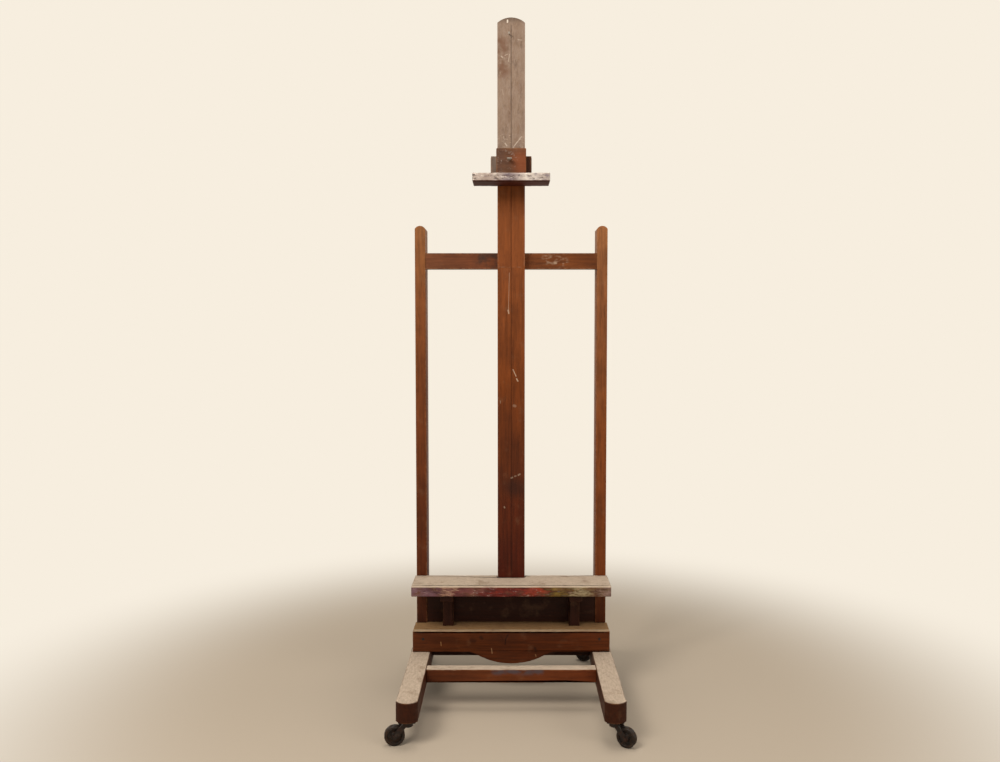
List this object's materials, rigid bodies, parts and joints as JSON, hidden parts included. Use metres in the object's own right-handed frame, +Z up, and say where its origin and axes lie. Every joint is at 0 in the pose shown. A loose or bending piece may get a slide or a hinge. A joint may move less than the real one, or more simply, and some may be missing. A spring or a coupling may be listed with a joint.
{
  "type": "studio easel",
  "caption": "Tall wooden H-frame studio easel on swivel casters, with a ratchet-lifted canvas tray and mast and a sliding top canvas holder.",
  "frame": {"origin": "on the floor, midway across the width and midway along the runners", "axes": "+Z up along the mast; -Y is the front, where the canvas stands; +X is the viewer's right when facing the canvas"},
  "size_m": [0.7265, 0.7141, 2.209],
  "materials": {
    "mahogany": "aged satin",
    "mahogany_dark": "aged satin",
    "dusty_mahogany": "dusty",
    "shelf_wood": "worn",
    "wrought_iron": "aged",
    "wheel_iron": "aged"
  },
  "bodies": {
    "stand": {"left_runner": "mahogany_dark", "right_runner": "mahogany_dark", "front_stretcher": "mahogany", "mid_stretcher": "mahogany_dark", "rear_stretcher": "mahogany_dark", "left_post": "mahogany", "right_post": "mahogany", "crossbar": "mahogany", "left_brace": "mahogany_dark", "right_brace": "mahogany_dark", "left_bearer": "mahogany_dark", "right_bearer": "mahogany_dark", "shelf_board": "shelf_wood", "apron": "mahogany", "apron_screws": "wrought_iron", "tenon_pegs": "mahogany_dark", "pawl_bracket": "wrought_iron", "pawl_pin": "wrought_iron", "bracket_screws": "wrought_iron", "caster_plate_front_left": "wrought_iron", "caster_plate_front_right": "wrought_iron", "caster_plate_rear_left": "wrought_iron", "caster_plate_rear_right": "wrought_iron", "caster_kingpins": "wrought_iron", "caster_screws": "wrought_iron"},
    "carriage": {"tray_board": "dusty_mahogany", "carriage_back": "mahogany_dark", "left_tray_leg": "mahogany_dark", "right_tray_leg": "mahogany_dark", "left_tray_batten": "mahogany_dark", "right_tray_batten": "mahogany_dark", "mast_lower": "mahogany", "mast_upper": "dusty_mahogany", "rack_rail": "mahogany_dark", "rack_screws": "wrought_iron", "mast_screws": "wrought_iron", "mast_stop_pin": "wrought_iron"},
    "canvas_holder": {"holder_lip": "dusty_mahogany", "holder_front_plate": "mahogany", "holder_left_cheek": "mahogany", "holder_right_cheek": "mahogany", "holder_back_plate": "mahogany_dark", "holder_screws": "wrought_iron", "clamp_nut": "wrought_iron"},
    "clamp": {"clamp_screw": "wrought_iron"},
    "pawl": {"pawl": "wrought_iron"},
    "swivel_front_left": {"fork_front_left": "wrought_iron", "axle_front_left": "wrought_iron"},
    "rolling_front_left": {"wheel_front_left": "wheel_iron"},
    "swivel_front_right": {"fork_front_right": "wrought_iron", "axle_front_right": "wrought_iron"},
    "rolling_front_right": {"wheel_front_right": "wheel_iron"},
    "swivel_rear_left": {"fork_rear_left": "wrought_iron", "axle_rear_left": "wrought_iron"},
    "rolling_rear_left": {"wheel_rear_left": "wheel_iron"},
    "swivel_rear_right": {"fork_rear_right": "wrought_iron", "axle_rear_right": "wrought_iron"},
    "rolling_rear_right": {"wheel_rear_right": "wheel_iron"}
  },
  "joints": [
    {"name": "carriage_lift", "type": "slide", "parent": "stand", "child": "carriage", "axis": [0, 0, 1], "range_m": [0, 0.6]},
    {"name": "holder_slide", "type": "slide", "parent": "carriage", "child": "canvas_holder", "axis": [0, 0, 1], "range_m": [-0.15, 0.365]},
    {"name": "clamp_turn", "type": "hinge", "parent": "canvas_holder", "child": "clamp", "pos_m": [-0.006, 0.085, 1.7498], "axis": [0, -1, 0], "range_deg": [0, 360]},
    {"name": "pawl_swing", "type": "hinge", "parent": "stand", "child": "pawl", "pos_m": [0, 0.1905, 1.404], "axis": [1, 0, 0], "range_deg": [0, 8]},
    {"name": "swivel_turn_front_left", "type": "hinge", "parent": "stand", "child": "swivel_front_left", "pos_m": [-0.299, -0.317, 0.063], "axis": [0, 0, 1], "continuous": true},
    {"name": "wheel_roll_front_left", "type": "hinge", "parent": "swivel_front_left", "child": "rolling_front_left", "pos_m": [-0.33642, -0.3236, 0.0296], "axis": [0.1736, -0.9848, 0], "continuous": true},
    {"name": "swivel_turn_front_right", "type": "hinge", "parent": "stand", "child": "swivel_front_right", "pos_m": [0.299, -0.317, 0.063], "axis": [0, 0, 1], "continuous": true},
    {"name": "wheel_roll_front_right", "type": "hinge", "parent": "swivel_front_right", "child": "rolling_front_right", "pos_m": [0.33123, -0.33714, 0.0296], "axis": [0.5299, 0.848, 0], "continuous": true},
    {"name": "swivel_turn_rear_left", "type": "hinge", "parent": "stand", "child": "swivel_rear_left", "pos_m": [-0.299, 0.317, 0.063], "axis": [0, 0, 1], "continuous": true},
    {"name": "wheel_roll_rear_left", "type": "hinge", "parent": "swivel_rear_left", "child": "rolling_rear_left", "pos_m": [-0.33344, 0.33306, 0.0296], "axis": [-0.4226, -0.9063, 0], "continuous": true},
    {"name": "swivel_turn_rear_right", "type": "hinge", "parent": "stand", "child": "swivel_rear_right", "pos_m": [0.299, 0.317, 0.063], "axis": [0, 0, 1], "continuous": true},
    {"name": "wheel_roll_rear_right", "type": "hinge", "parent": "swivel_rear_right", "child": "rolling_rear_right", "pos_m": [0.26329, 0.33, 0.0296], "axis": [-0.342, -0.9397, 0], "continuous": true}
  ]
}
